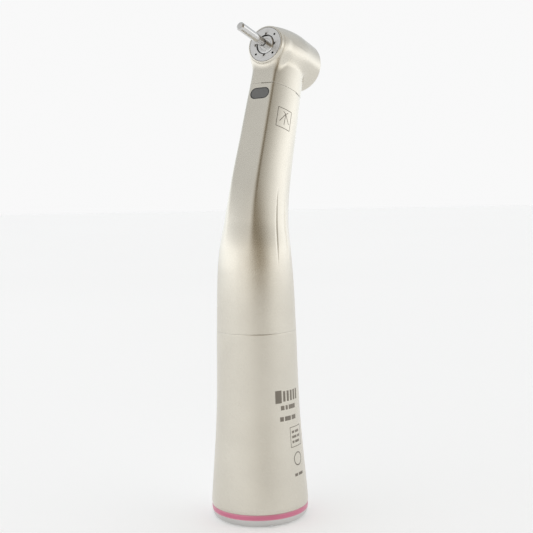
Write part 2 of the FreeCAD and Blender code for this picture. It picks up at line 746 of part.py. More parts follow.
def head_cap():
    """Rear cap that closes the barrel, seats the rear bearing and guides the button."""
    rim = 4.95
    edges = [line((3.2, -3.15), (4.27, -3.15)),
             line((4.27, -3.15), (4.27, -6.55)),
             line((4.27, -6.55), (rim, -6.55)),
             arc((rim, -6.55), (4.78, -7.15), (4.4, -7.6)),
             line((4.4, -7.6), (BUTTON_RADIUS + 0.06, -7.6)),
             line((BUTTON_RADIUS + 0.06, -7.6), (BUTTON_RADIUS + 0.06, -6.0)),
             line((BUTTON_RADIUS + 0.06, -6.0), (1.7, -6.0)),
             line((1.7, -6.0), (1.7, -5.6)),
             line((1.7, -5.6), (3.2, -5.6)),
             line((3.2, -5.6), (3.2, -3.15))]
    return placed(revolved_edges(edges), HEAD)


def crown_arc(rim_radius, rim_height, crown_height):
    """Shallow arc from a rim up to the axis, centred on the axis."""
    rise = rim_height - crown_height
    sphere = (rim_radius ** 2 + rise ** 2) / (2 * rise)
    middle = crown_height + sphere - math.sqrt(sphere ** 2 - rim_radius ** 2 / 4)
    return arc((rim_radius, rim_height), (rim_radius / 2, middle), (0, crown_height))


def push_button():
    """Domed button that opens the chuck."""
    radius = BUTTON_RADIUS
    edges = [line((0, -8.1), (3.5, -8.1)),
             line((3.5, -8.1), (3.5, -6.9)),
             line((3.5, -6.9), (radius, -6.9)),
             line((radius, -6.9), (radius, -7.75)),
             arc((radius, -7.75), (3.8, -8.25), (3.3, -8.5)),
             crown_arc(3.3, -8.5, BUTTON_BACK),
             line((0, BUTTON_BACK), (0, -8.1))]
    return placed(revolved_edges(edges), HEAD)


def helix_spring(radius, wire, low, high, turns):
    """Closed coil of round wire about the local axis."""
    path = Part.makeHelix((high - low - 2 * wire) / turns, high - low - 2 * wire, radius)
    path.translate(Vector(0, 0, low + wire))
    start = path.Edges[0].valueAt(path.Edges[0].FirstParameter)
    ring = Part.Wire(Part.makeCircle(wire, start, Y))
    return Part.Wire(path.Edges).makePipeShell([ring], True, True)


def button_spring():
    return placed(helix_spring(2.6, 0.16, -8.08, -6.02, 3), HEAD)


def index_pin():
    """Pin beside the coupling tube that lines the handpiece up with the motor."""
    pin = tube(0, INDEX_PIN_RADIUS, 0.4, 14.4)
    return placed(pin, Placement(Y * INDEX_PIN_OFFSET, Rotation()))


def build():
    nodes = {
        "end_ring": end_ring(),
        "colour_ring": colour_ring(),
        "rear_sleeve": rear_sleeve(),
        "coupling_tube": coupling_tube(),
        "spray_manifold": spray_manifold(),
        "core_tube": core_tube(),
        "joint_ring": joint_ring(),
        "neck_tube": neck_tube(),
        "neck_sheath": neck_sheath(),
        "lens": lens(),
        "light_rod": light_rod(),
        "water_line": spray_line(-LINE_SPREAD),
        "air_line": spray_line(LINE_SPREAD),
        "ring_gear": ring_gear(),
        "head_housing": head_housing(),
        "drive_shaft": drive_shaft(),
        "drive_dog": drive_dog(),
        "planet_carrier": planet_carrier(),
        "planet_pins": planet_pins(),
        "sun_gear": sun_gear(),
        "sun_shaft": sun_shaft(),
        "knee_input_gear": knee_input_gear(),
        "knee_output_gear": knee_output_gear(),
        "neck_shaft": neck_shaft(),
        "head_gear": head_gear(),
        "head_pinion": head_pinion(),
        "nose_ring": nose_ring(),
        "spindle": spindle(),
        "collet": collet(),
        "chuck_plunger": chuck_plunger(),
        "bur": bur(),
        "head_cap": head_cap(),
        "push_button": push_button(),
        "button_spring": button_spring(),
        "index_pin": index_pin(),
        "manifold_seals": manifold_seals(),
    }
    for index, gear in enumerate(planets(), start=1):
        nodes["planet_gear_%d" % index] = gear
    for name, sizes in BEARING_PAIRS.items():
        for part, shape in zip(("outer_races", "balls", "inner_races"), bearing_pair(*sizes)):
            nodes["%s_%s" % (name, part)] = shape
    return nodes


os.makedirs("parts", exist_ok=True)
for name, shape in build().items():
    if not shape.isValid():
        print("not valid:", name)
    shape.exportStep("parts/%s.step" % name)
    print(name, len(shape.Solids), round(shape.Volume, 2))
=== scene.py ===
import json
import math

import bpy
import bmesh
import numpy as np
from mathutils import Matrix, Vector


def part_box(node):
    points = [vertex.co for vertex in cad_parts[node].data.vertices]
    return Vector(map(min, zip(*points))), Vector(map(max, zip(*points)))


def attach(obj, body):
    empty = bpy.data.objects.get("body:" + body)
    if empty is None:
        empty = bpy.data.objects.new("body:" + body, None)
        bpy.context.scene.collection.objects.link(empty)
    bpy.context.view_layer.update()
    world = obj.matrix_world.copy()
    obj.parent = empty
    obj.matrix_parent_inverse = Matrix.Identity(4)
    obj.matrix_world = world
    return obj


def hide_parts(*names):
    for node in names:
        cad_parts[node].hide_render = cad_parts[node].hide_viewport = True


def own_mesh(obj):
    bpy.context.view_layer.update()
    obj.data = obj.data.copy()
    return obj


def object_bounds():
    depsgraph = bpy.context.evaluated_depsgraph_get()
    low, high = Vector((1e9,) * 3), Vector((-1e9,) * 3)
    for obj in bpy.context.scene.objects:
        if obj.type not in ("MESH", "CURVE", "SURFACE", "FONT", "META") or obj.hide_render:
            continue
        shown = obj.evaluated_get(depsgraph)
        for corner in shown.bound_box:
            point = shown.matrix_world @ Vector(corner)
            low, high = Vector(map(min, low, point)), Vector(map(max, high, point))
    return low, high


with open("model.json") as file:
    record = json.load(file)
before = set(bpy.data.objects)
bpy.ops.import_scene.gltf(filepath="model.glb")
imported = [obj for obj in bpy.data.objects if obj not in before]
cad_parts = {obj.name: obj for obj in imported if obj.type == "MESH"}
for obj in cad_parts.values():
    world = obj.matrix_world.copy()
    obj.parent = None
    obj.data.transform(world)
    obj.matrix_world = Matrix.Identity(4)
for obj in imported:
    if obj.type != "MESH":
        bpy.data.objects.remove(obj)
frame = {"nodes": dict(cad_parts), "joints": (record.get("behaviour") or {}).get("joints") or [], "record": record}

cad_low, cad_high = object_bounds()

# Contra angle handpiece: the looks. The handle's axis is +Z and the bur points to -Y.
# A size with "* MM" is metres. The other sizes are millimetres, for outlines that are drawn in millimetres.
MM = 0.001
joints = {joint["name"]: joint for joint in frame["joints"]}

# ---- axes, from the frame -----------------------------------------------------------------------------
HEAD_CENTRE = np.array(joints["chuck_spin"]["pos_m"])
BUR_AXIS = np.array(joints["chuck_spin"]["axis"])
NECK_AXIS = np.array(joints["neck_spin"]["axis"])
neck_point = np.array(joints["neck_spin"]["pos_m"])
KNEE = neck_point - NECK_AXIS * (neck_point[1] / NECK_AXIS[1])
SIDE = np.array([1.0, 0.0, 0.0])
NECK_BACK = np.cross(NECK_AXIS, SIDE)
HEAD_UP = np.cross(BUR_AXIS, SIDE)
NECK_ANGLE = math.atan2(NECK_AXIS[1], NECK_AXIS[2])

# ---- sleeve and neck dimensions -----------------------------------------------------------------------
BEND_RADIUS = 49.0 * MM
SLEEVE_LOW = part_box("colour_ring")[1].z + 0.02 * MM
SLEEVE_TOP = 34.56 * MM
SHEATH_START = 34.57 * MM
SEAM_EDGE = 0.03 * MM
EDGE_MIDDLE = 0.3 * SEAM_EDGE
SHEATH_WALL = 0.65 * MM
SLEEVE_LIP = 0.8 * MM
SLEEVE_FOOT = 1.2 * MM
SLEEVE_WALL_REACH = 1.5 * MM
SLEEVE_FLARE = ((2.4, 8.90), (3.1, 8.985), (9.1, 8.50), (15.5, 8.00), (22.0, 7.64), (34.45, 7.355))
SHEATH_RADII = ((0.0, 7.33), (8.3, 7.07), (14.6, 6.62), (19.3, 6.0), (25.1, 5.53), (33.0, 5.19),
                (41.0, 4.98), (45.2, 4.84), (50.0, 4.78))
KEYSTONE_RADIUS = 4.955
KEYSTONE_CORNER = (1.99, -4.40)
KEYSTONE_CORNER_RADIUS = 0.98
KEYSTONE_BACK_RADIUS = 4.52
KEYSTONE_BACK_OFFSET = 0.74
KEYSTONE_SIDE_RADIUS = 8.1
MORPH_START, MORPH_END = 12.0 * MM, 30.0 * MM
TANGENT = BEND_RADIUS * math.tan(NECK_ANGLE / 2)
STRAIGHT = KNEE[2] - TANGENT - SHEATH_START
NECK_START = STRAIGHT + BEND_RADIUS * NECK_ANGLE - TANGENT
HEAD_SEAM = 26.6 * MM
NECK_LENGTH = float((HEAD_CENTRE - KNEE) @ NECK_AXIS)
HEAD_SEAM_DISTANCE = NECK_START + HEAD_SEAM
# Grip grooves: turn from the front (degrees), lower and upper end along the neck (mm).
GROOVES = ((69.5, 11.6, 25.8), (95.0, 11.0, 25.2), (120.5, 11.6, 25.8))
GROOVE_DEPTH = 0.11 * MM
GROOVE_HALF_WIDTH = 0.30 * MM
GROOVE_ARM = 5.9 * MM
WINDOW_CENTRE = NECK_START + 24.5 * MM
WINDOW_LENGTH, WINDOW_WIDTH = 4.06 * MM, 2.26 * MM
WINDOW_CUT = (4.2 * MM, 6.4 * MM)
WINDOW_ARC_STEPS = 24
# Window seal: narrowing and height above the neck's axis.
WINDOW_SEAL = ((0.0, 4.9 * MM), (0.0, 5.28 * MM), (0.20 * MM, 5.31 * MM), (0.40 * MM, 5.302 * MM))

# ---- head dimensions ----------------------------------------------------------------------------------
NOSE_FACE = 6.18 * MM
NOSE_RADIUS = 3.58
BARREL_RADIUS = 5.09
BARREL_FRONT = -1.9
BARREL_BACK = -6.5 * MM
NOSE_CURVE = 1.79
SIDE_FILLET = 0.95 * MM
FRONT_FILLET = 2.1 * MM
NOSE_FILLET = 0.10 * MM
NOSE_FILLET_REACH = 0.9 * MM
FRONT_FILLET_START, FRONT_FILLET_REACH = 3.2 * MM, 1.6 * MM
NOSE_RIM = 0.16 * MM
HEAD_EDGE = 0.05 * MM
HEAD_SEAM_GAP = 0.03 * MM
# Rolled edges of the head: steps along the edge's normal and towards its centre.
NOSE_ROLL = ((0.07 * MM, 0.03 * MM), (0.05 * MM, 0.05 * MM), (0.04 * MM, 0.10 * MM), (0.0, 0.12 * MM),
             (-0.3 * MM, 0.0))
SHORT_ROLL = ((0.035 * MM, 0.015 * MM), (0.015 * MM, 0.035 * MM), (0.0, 0.5 * MM), (-0.6 * MM, 0.0))

# Painted shade round the chuck: a dark ring low in the gap that stands in for the shadow there; radius and height
# along the bur axis.
NOSE_GAP_SHADE = ((1.705 * MM, 5.80 * MM), (1.72 * MM, 5.97 * MM), (1.85 * MM, 5.97 * MM), (1.99 * MM, 5.92 * MM))
NOSE_GAP_SHADE_COLUMNS = 120

# ---- button and spring dimensions: heights are along the bur axis ---------------------------------------
BUTTON_RADIUS, BUTTON_FACE, BUTTON_BORE = 4.0, 3.3, 3.5
BUTTON_FRONT, BUTTON_WALL, BUTTON_FLOOR = -6.9, -7.75, -8.1
BUTTON_EDGE, BUTTON_BACK = -8.48, -8.88
BUTTON_PIP = 0.01
SPRING_RADIUS = 2.6 * MM
SPRING_WIRE = 0.16 * MM
SPRING_BACK, SPRING_FRONT = -8.06 * MM, -6.04 * MM
SPRING_TURNS = 3
SPRING_TIP = 0.02 * SPRING_WIRE

# ---- mesh fineness ------------------------------------------------------------------------------------
NECK_COLUMNS, NECK_ROWS, NECK_INNER_ROWS = 400, 216, 16
SLEEVE_COLUMNS, SLEEVE_ROWS = 256, 200
HEAD_VOXEL = 0.13 * MM
SETTLE_ROUNDS = 8
BUTTON_COLUMNS, BUTTON_RIM_ROWS, BUTTON_FACE_ROWS = 160, 13, 24
SPRING_STEPS, SPRING_COLUMNS = 150, 12

# ---- camera -------------------------------------------------------------------------------------------
CAMERA_AZIMUTH = math.radians(32.02)
CAMERA_DISTANCE = 172.4 * MM
CAMERA_HEIGHT = 57.3 * MM
CAMERA_YAW = math.radians(-0.70)
CAMERA_PITCH = math.radians(-3.68)
CAMERA_ROLL = math.radians(-1.22)
SENSOR_WIDTH = 36.0
LENS_LENGTH = 63.3


def add_camera():
    """Camera at the viewing angle: a little above the middle, looking slightly down."""
    place = Vector((math.sin(CAMERA_AZIMUTH) * CAMERA_DISTANCE,
                    -math.cos(CAMERA_AZIMUTH) * CAMERA_DISTANCE, CAMERA_HEIGHT))
    turn = CAMERA_AZIMUTH + CAMERA_YAW
    level = Vector((-math.sin(turn), math.cos(turn), 0))
    right = Vector((math.cos(turn), math.sin(turn), 0))
    forward = level * math.cos(CAMERA_PITCH) + Vector((0, 0, 1)) * math.sin(CAMERA_PITCH)
    up = Vector((0, 0, 1)) * math.cos(CAMERA_PITCH) - level * math.sin(CAMERA_PITCH)
    rolled_right = right * math.cos(CAMERA_ROLL) + up * math.sin(CAMERA_ROLL)
    rolled_up = up * math.cos(CAMERA_ROLL) - right * math.sin(CAMERA_ROLL)
    data = bpy.data.cameras.new("camera")
    data.sensor_width = SENSOR_WIDTH
    data.lens = LENS_LENGTH
    data.clip_start, data.clip_end = 0.005, 20
    camera = bpy.data.objects.new("camera", data)
    rotation = Matrix((rolled_right, rolled_up, -forward)).transposed().to_4x4()
    camera.matrix_world = Matrix.Translation(place) @ rotation
    bpy.context.scene.collection.objects.link(camera)
    bpy.context.scene.camera = camera


# ---- mesh helpers -------------------------------------------------------------------------------------
def new_object(name, vertices, faces):
    """Smooth-shaded object from points and faces."""
    mesh = bpy.data.meshes.new(name)
    mesh.from_pydata([tuple(point) for point in vertices], [], faces)
    mesh.validate()
    mesh.polygons.foreach_set("use_smooth", [True] * len(mesh.polygons))
    mesh.update()
    thing = bpy.data.objects.new(name, mesh)
    bpy.context.scene.collection.objects.link(thing)
    return thing


def grid_faces(rows, columns, close_rows):
    """Quads of a grid that is closed round its columns, and round its rows where asked."""
    faces = []
    for row in range(rows if close_rows else rows - 1):
        after = (row + 1) % rows
        for column in range(columns):
            beside = (column + 1) % columns
            faces.append((row * columns + column, row * columns + beside,
                          after * columns + beside, after * columns + column))
    return faces


def grid_object(name, rings, close_rows=False):
    """Object from rings of points, every ring closed and equally long."""
    rings = np.asarray(rings)
    rows, columns = rings.shape[:2]
    return new_object(name, rings.reshape(-1, 3), grid_faces(rows, columns, close_rows))


def from_bmesh(name, work):
    """Object from a bmesh, which is freed."""
    mesh = bpy.data.meshes.new(name)
    work.to_mesh(mesh)
    work.free()
    thing = bpy.data.objects.new(name, mesh)
    bpy.context.scene.collection.objects.link(thing)
    return thing


def close_ends(work):
    """Fills open ends and turns every face outwards."""
    bmesh.ops.holes_fill(work, edges=work.edges)
    bmesh.ops.recalc_face_normals(work, faces=work.faces)


def sharpen(thing, degrees):
    """Smooth shading with edges sharper than the given angle kept crisp."""
    mesh = thing.data
    mesh.polygons.foreach_set("use_smooth", [True] * len(mesh.polygons))
    mesh.set_sharp_from_angle(angle=math.radians(degrees))


def apply_modifiers(thing):
    """Puts the result of an object's modifiers in its mesh."""
    graph = bpy.context.evaluated_depsgraph_get()
    mesh = bpy.data.meshes.new_from_object(thing.evaluated_get(graph))
    thing.modifiers.clear()
    thing.data = mesh


def cubic(value, stations):
    """Smooth curve through (place, size) stations, as a numpy function."""
    places = np.array([item[0] for item in stations])
    sizes = np.array([item[1] for item in stations])
    padded_places = np.concatenate(([places[0]], places, [places[-1]]))
    padded_sizes = np.concatenate(([sizes[0]], sizes, [sizes[-1]]))
    slopes = (padded_sizes[2:] - padded_sizes[:-2]) / (padded_places[2:] - padded_places[:-2])
    value = np.clip(value, places[0], places[-1])
    index = np.clip(np.searchsorted(places, value) - 1, 0, len(places) - 2)
    length = places[index + 1] - places[index]
    share = (value - places[index]) / length
    return (sizes[index] + (sizes[index + 1] - sizes[index]) * eased(share)
            + slopes[index] * share * (1 - share) ** 2 * length
            + slopes[index + 1] * share * share * (share - 1) * length)


def eased(share):
    """Share from 0 to 1 that starts and ends gently."""
    return share * share * (3 - 2 * share)


# ---- neck surface ---------------------------------------------------------------------------------------
def circle_reach(centre_x, centre_y, radius, angle):
    """Distance from the origin to the far side of a circle, in the direction of an angle."""
    along = centre_x * np.cos(angle) + centre_y * np.sin(angle)
    square = along * along - centre_x ** 2 - centre_y ** 2 + radius ** 2
    return np.where(square >= 0, along + np.sqrt(np.maximum(square, 0)), 0.0)


def keystone_reach(angle):
    """Radius of the neck section: flat front face, round corners, gently bowed sides and a round back."""
    corner_x, corner_y = KEYSTONE_CORNER
    corner, back, side = KEYSTONE_CORNER_RADIUS, KEYSTONE_BACK_RADIUS, KEYSTONE_SIDE_RADIUS
    run = np.array([-corner_x, KEYSTONE_BACK_OFFSET - corner_y])
    gap = np.linalg.norm(run)
    along = (gap ** 2 + (side - corner) ** 2 - (side - back) ** 2) / (2 * gap)
    across = math.sqrt((side - corner) ** 2 - along ** 2)
    aside = np.array([-run[1], run[0]])
    side_x, side_y = np.array(KEYSTONE_CORNER) + run / gap * along + aside / gap * across
    folded = np.arctan2(np.sin(angle), np.abs(np.cos(angle)))
    reach = circle_reach(0, KEYSTONE_BACK_OFFSET, back, folded)
    join = end_turn((side_x, side_y), (0, KEYSTONE_BACK_OFFSET), back)
    reach = np.where(folded < join, circle_reach(side_x, side_y, side, folded), reach)
    join = end_turn((side_x, side_y), KEYSTONE_CORNER, corner)
    reach = np.where(folded < join, circle_reach(corner_x, corner_y, corner, folded), reach)
    front = corner_y - corner
    join = math.atan2(front, corner_x)
    return np.where(folded < join, front / np.minimum(np.sin(folded), -0.1), reach)


def end_turn(side_centre, arc_centre, arc_radius):
    """Turn about the section's middle of the place where a side arc runs into a smaller arc."""
    out_x, out_y = arc_centre[0] - side_centre[0], arc_centre[1] - side_centre[1]
    scale = arc_radius / math.hypot(out_x, out_y)
    return math.atan2(arc_centre[1] + out_y * scale, arc_centre[0] + out_x * scale)


def neck_reach(distance, angle):
    """Radius of the neck's outer surface, in metres, at places along and round it."""
    share = eased(np.clip((distance - MORPH_START) / (MORPH_END - MORPH_START), 0, 1))
    radius = cubic(distance / MM, SHEATH_RADII)
    scale = radius / KEYSTONE_RADIUS
    return MM * ((1 - share) * radius + share * scale * keystone_reach(angle))


def neck_frame(distance):
    """Centre and backward direction of the neck at one distance from the lower seam."""
    if distance <= STRAIGHT:
        return np.array([0, 0, SHEATH_START + distance]), np.array([0.0, 1.0, 0.0])
    turned = (distance - STRAIGHT) / BEND_RADIUS
    if turned < NECK_ANGLE:
        centre = np.array([0, BEND_RADIUS * (1 - math.cos(turned)),
                           KNEE[2] - TANGENT + BEND_RADIUS * math.sin(turned)])
        return centre, np.array([0.0, math.cos(turned), -math.sin(turned)])
    return KNEE + NECK_AXIS * (distance - NECK_START), NECK_BACK


def groove_depth(distance, angle):
    """Depth of the slender finger grooves on both sides of the knee."""
    depth = 0.0
    for turn, low, high in GROOVES:
        low, high = low * MM, high * MM
        share = np.clip((distance - low) / (high - low), 0, 1)
        swell = np.sin(math.pi * share) ** 0.6
        for side in (-1, 1):
            centre = math.radians(side * turn - 90)
            off = np.angle(np.exp(1j * (angle - centre))) * GROOVE_ARM
            across = np.clip(np.abs(off) / (GROOVE_HALF_WIDTH * np.maximum(swell, 0.05)), 0, 1)
            depth = depth + GROOVE_DEPTH * swell * (1 - across ** 2) ** 1.5
    return depth


def neck_points(distance, angles, inset):
    """Ring of points on the neck's surface, or inset from it; the grooves are only on the surface."""
    centre, back = neck_frame(distance)
    reach = neck_reach(distance, angles) - inset
    if inset == 0.0:
        reach = reach - groove_depth(distance, angles)
    return centre + np.outer(reach * np.cos(angles), SIDE) + np.outer(reach * np.sin(angles), back)


def neck_shell():
    """Neck sheath: outer surface with its grooves, rolled end edges and an inner wall."""
    angles = np.linspace(0, 2 * math.pi, NECK_COLUMNS, endpoint=False)
    edge, step, top = SEAM_EDGE, 0.01 * MM, HEAD_SEAM_DISTANCE
    outer = [(distance, 0.0) for distance in np.linspace(edge, top - edge, NECK_ROWS)]
    inner = [(distance, SHEATH_WALL) for distance in np.linspace(top - step, step, NECK_INNER_ROWS)]
    low_roll = [(edge, 0.0), (EDGE_MIDDLE, EDGE_MIDDLE)]
    high_roll = [(top - place, inset) for place, inset in reversed(low_roll)]
    plan = low_roll + outer + high_roll + inner
    rings = [neck_points(distance, angles, inset) for distance, inset in plan]
    return grid_object("neck_shell", rings, close_rows=True)


def window_matrix():
    """Local X across, local Y along the neck, local Z out of its front face."""
    centre, back = neck_frame(WINDOW_CENTRE)
    axes = Matrix((Vector(SIDE), Vector(NECK_AXIS), Vector(-back))).transposed().to_4x4()
    return Matrix.Translation(Vector(centre)) @ axes


def stadium_outline(length, width):
    """Points round a slot-shaped outline, anticlockwise."""
    half, radius = (length - width) / 2, width / 2
    turns = np.linspace(-math.pi / 2, math.pi / 2, WINDOW_ARC_STEPS)
    right = [(half + radius * math.cos(turn), radius * math.sin(turn)) for turn in turns]
    left = [(-x, -y) for x, y in right]
    return right + left


def stadium_rings(name, profile):
    """Slot-shaped band from (length, width, height) rings, open at both ends."""
    matrix = window_matrix()
    rings = []
    for length, width, height in profile:
        outline = stadium_outline(length, width)
        rings.append([matrix @ Vector((x, y, height)) for x, y in outline])
    return grid_object(name, rings)


def cut_window(shell):
    """Cuts the slot for the window glass through the neck's front face."""
    profile = [(WINDOW_LENGTH, WINDOW_WIDTH, height) for height in WINDOW_CUT]
    cutter = stadium_rings("window_cutter", profile)
    work = bmesh.new()
    work.from_mesh(cutter.data)
    close_ends(work)
    work.to_mesh(cutter.data)
    work.free()
    modifier = shell.modifiers.new("window", "BOOLEAN")
    modifier.object = cutter
    modifier.operation = "DIFFERENCE"
    modifier.solver = "EXACT"
    apply_modifiers(shell)
    bpy.data.objects.remove(cutter)


# ---- head surface ---------------------------------------------------------------------------------------
def bur_rings(profile, columns):
    """Rings round the bur axis from (radius, height) places in metres."""
    angles = np.linspace(0, 2 * math.pi, columns, endpoint=False)
    round_way = np.outer(np.cos(angles), SIDE) + np.outer(np.sin(angles), HEAD_UP)
    return [HEAD_CENTRE + BUR_AXIS * height + round_way * radius for radius, height in profile]


def barrel_radius(height):
    """Radius of the head round the bur axis, in metres."""
    share = np.clip((NOSE_FACE / MM - height / MM) / (NOSE_FACE / MM - BARREL_FRONT), 0, 1)
    return MM * (NOSE_RADIUS + (BARREL_RADIUS - NOSE_RADIUS) * (1 - (1 - share) ** NOSE_CURVE))


def head_field(points):
    """Negative inside the head: barrel and neck stub, run together with a soft fillet."""
    local = points - HEAD_CENTRE
    height = local @ BUR_AXIS
    radial = local - np.outer(height, BUR_AXIS)
    slope = (barrel_radius(height + 0.1 * MM) - barrel_radius(height - 0.1 * MM)) / (0.2 * MM)
    barrel = (np.linalg.norm(radial, axis=1) - barrel_radius(height)) / np.sqrt(1 + slope ** 2)
    from_knee = points - KNEE
    along = from_knee @ NECK_AXIS
    across, back = from_knee @ SIDE, from_knee @ NECK_BACK
    angle = np.arctan2(back, across)
    stub = np.maximum(np.hypot(across, back) - neck_reach(along + NECK_START, angle), along - NECK_LENGTH)
    frontness = eased(np.clip((-back - FRONT_FILLET_START) / FRONT_FILLET_REACH, 0, 1))
    full = SIDE_FILLET + (FRONT_FILLET - SIDE_FILLET) * frontness
    fade = eased(np.clip((NOSE_FACE - height) / NOSE_FILLET_REACH, 0, 1))
    fillet = NOSE_FILLET + (full - NOSE_FILLET) * fade
    mix = np.clip(0.5 + 0.5 * (stub - barrel) / fillet, 0, 1)
    return stub + (barrel - stub) * mix - fillet * mix * (1 - mix)


def head_gradient(points):
    """Slope of the head's field, by small steps along each axis."""
    step = 0.005 * MM
    axes = np.eye(3) * step
    slopes = [(head_field(points + axis) - head_field(points - axis)) / (2 * step) for axis in axes]
    return np.stack(slopes, axis=1)


def settle_on_head(points):
    """Moves points onto the head's surface."""
    for _ in range(SETTLE_ROUNDS):
        value = head_field(points)
        slope = head_gradient(points)
        points = points - slope * (value / np.maximum((slope ** 2).sum(1), 1e-6))[:, None]
    return points


def head_rough():
    """Rough barrel and stub, past their ends, as one closed mesh for the remesh."""
    columns, spare = 96, 0.6 * MM
    heights = np.linspace(BARREL_BACK - spare, NOSE_FACE + spare, 60)
    barrel = bur_rings([(barrel_radius(height), height) for height in heights], columns)
    angles = np.linspace(0, 2 * math.pi, columns, endpoint=False)
    stub = []
    for distance in np.linspace(HEAD_SEAM_DISTANCE - spare, HEAD_SEAM_DISTANCE + 6 * MM, 30):
        reach = neck_reach(distance, angles)
        centre = KNEE + NECK_AXIS * (distance - NECK_START)
        stub.append(centre + np.outer(reach * np.cos(angles), SIDE)
                    + np.outer(reach * np.sin(angles), NECK_BACK))
    work = bmesh.new()
    for thing in (grid_object("head_barrel", barrel), grid_object("head_stub", stub)):
        work.from_mesh(thing.data)
        bpy.data.objects.remove(thing)
    close_ends(work)
    return from_bmesh("head_shell", work)


def cut_plane(work, point, normal):
    """Cuts everything past a plane away and gives the edges of the new loop."""
    geometry = work.verts[:] + work.edges[:] + work.faces[:]
    result = bmesh.ops.bisect_plane(work, geom=geometry, dist=1e-7, plane_co=Vector(point),
                                    plane_no=Vector(normal), clear_outer=True)
    return [item for item in result["geom_cut"] if isinstance(item, bmesh.types.BMEdge)]


def roll_edge(work, edges, centre, normal, steps):
    """Extrudes an open edge loop inwards in steps of (along the normal, towards the centre)."""
    for along, inward in steps:
        made = bmesh.ops.extrude_edge_only(work, edges=edges)["geom"]
        for vertex in [item for item in made if isinstance(item, bmesh.types.BMVert)]:
            towards = Vector(centre) - vertex.co
            towards -= Vector(normal) * towards.dot(Vector(normal))
            vertex.co += Vector(normal) * along + towards.normalized() * inward
        edges = [item for item in made if isinstance(item, bmesh.types.BMEdge)]


def head_shell():
    """Head housing with a filleted neck, cut flat at its nose, back and seam."""
    shell = head_rough()
    modifier = shell.modifiers.new("even", "REMESH")
    modifier.mode = "VOXEL"
    modifier.voxel_size = HEAD_VOXEL
    apply_modifiers(shell)
    mesh = shell.data
    flat = np.empty(len(mesh.vertices) * 3)
    mesh.vertices.foreach_get("co", flat)
    mesh.vertices.foreach_set("co", settle_on_head(flat.reshape(-1, 3)).ravel())
    work = bmesh.new()
    work.from_mesh(mesh)
    nose = HEAD_CENTRE + BUR_AXIS * (NOSE_FACE - NOSE_RIM)
    back = HEAD_CENTRE + BUR_AXIS * (BARREL_BACK + HEAD_EDGE)
    seam = KNEE + NECK_AXIS * (HEAD_SEAM + HEAD_SEAM_GAP + HEAD_EDGE)
    for place, normal, steps in ((nose, BUR_AXIS, NOSE_ROLL), (back, -BUR_AXIS, SHORT_ROLL),
                                 (seam, -NECK_AXIS, SHORT_ROLL)):
        roll_edge(work, cut_plane(work, place, normal), place, normal, steps)
    bmesh.ops.recalc_face_normals(work, faces=work.faces)
    work.to_mesh(mesh)
    work.free()
    sharpen(shell, 50)
    return shell


# ---- rear sleeve ------------------------------------------------------------------------------------------
def sleeve_radius(height):
    """Radius of the sleeve, in metres, at a height on the handle axis."""
    return MM * cubic(height / MM, SLEEVE_FLARE)


def sleeve_shell():
    """Flared sleeve, turned about the handle axis, with rolled edges and a short inner wall."""
    edge, middle, reach = SEAM_EDGE, EDGE_MIDDLE, SLEEVE_WALL_REACH
    low, high = SLEEVE_LOW, SLEEVE_TOP
    plan = [(low + reach, SLEEVE_FOOT), (low, SLEEVE_FOOT), (low, edge), (low + middle, middle)]
    plan += [(height, 0.0) for height in np.linspace(low + edge, high - edge, SLEEVE_ROWS)]
    plan += [(high - middle, middle), (high, edge), (high, SLEEVE_LIP), (high - reach, SLEEVE_LIP)]
    angles = np.linspace(0, 2 * math.pi, SLEEVE_COLUMNS, endpoint=False)
    rings = []
    for height, inset in plan:
        radius = float(sleeve_radius(height)) - inset
        rings.append(np.stack([radius * np.cos(angles), radius * np.sin(angles),
                               np.full_like(angles, height)], axis=1))
    return grid_object("sleeve_shell", rings)


# ---- marks ------------------------------------------------------------------------------------------------
MARK_LIFT = 0.006 * MM
MARK_LINE = 0.13
MARK_STEP = 0.15
# Surface mm per degree of turn, on the sleeve and on the neck.
SLEEVE_SCALE, NECK_SCALE = 0.143, 0.085
# Generic bars: place up the sleeve (mm), start turn and end turn from the front (degrees), height (mm).
SLEEVE_BARS = ((23.15, 56.0, 66.0, 2.3), (23.15, 68.5, 72.5, 1.9), (23.15, 75.0, 79.0, 1.9),
               (23.15, 81.5, 85.5, 1.9), (23.15, 88.0, 92.0, 1.9), (23.15, 94.5, 98.5, 1.9),
               (21.1, 64.0, 70.0, 0.8), (21.1, 72.0, 76.0, 0.8), (21.1, 78.0, 92.0, 0.8),
               (19.1, 62.0, 68.0, 0.8), (19.1, 70.0, 81.0, 0.8), (19.1, 83.0, 92.0, 0.8),
               (16.4, 81.0, 86.0, 0.45), (16.4, 88.0, 97.0, 0.45), (15.5, 81.0, 91.0, 0.45),
               (15.5, 93.0, 99.0, 0.45), (14.6, 81.0, 85.0, 0.45), (14.6, 87.0, 97.0, 0.45),
               (8.6, 81.0, 87.0, 0.5), (8.6, 89.0, 99.0, 0.5))
# Frames: lower and upper place (mm), left and right turn (degrees).
SLEEVE_BOX = (13.7, 17.3, 78.0, 103.0)
NECK_BOX = (37.1, 40.8, 43.5, 82.5)
# Ring: place (mm), turn (degrees), its half height (mm) and half turn (degrees).
SLEEVE_RING = (11.4, 90.0, 1.15, 8.0)
SLEEVE_RING_LINE = 0.2
# Jets and nozzle of the spray symbol: ends as (place along the neck in mm, turn in degrees).
SPRAY_LINES = (((39.9, 64.0), (38.2, 50.0)), ((39.9, 64.0), (37.8, 63.0)), ((39.9, 64.0), (38.2, 77.0)),
               ((40.3, 57.0), (39.9, 64.0)), ((40.3, 71.0), (39.9, 64.0)))


def sleeve_mark_point(height, turn):
    """Point just proud of the sleeve."""
    radius = float(sleeve_radius(height * MM)) + MARK_LIFT
    return (radius * math.sin(math.radians(turn)), -radius * math.cos(math.radians(turn)), height * MM)


def neck_mark_point(distance, turn):
    """Point just proud of the neck."""
    return neck_points(distance * MM, np.array([math.radians(turn - 90)]), -MARK_LIFT)[0]


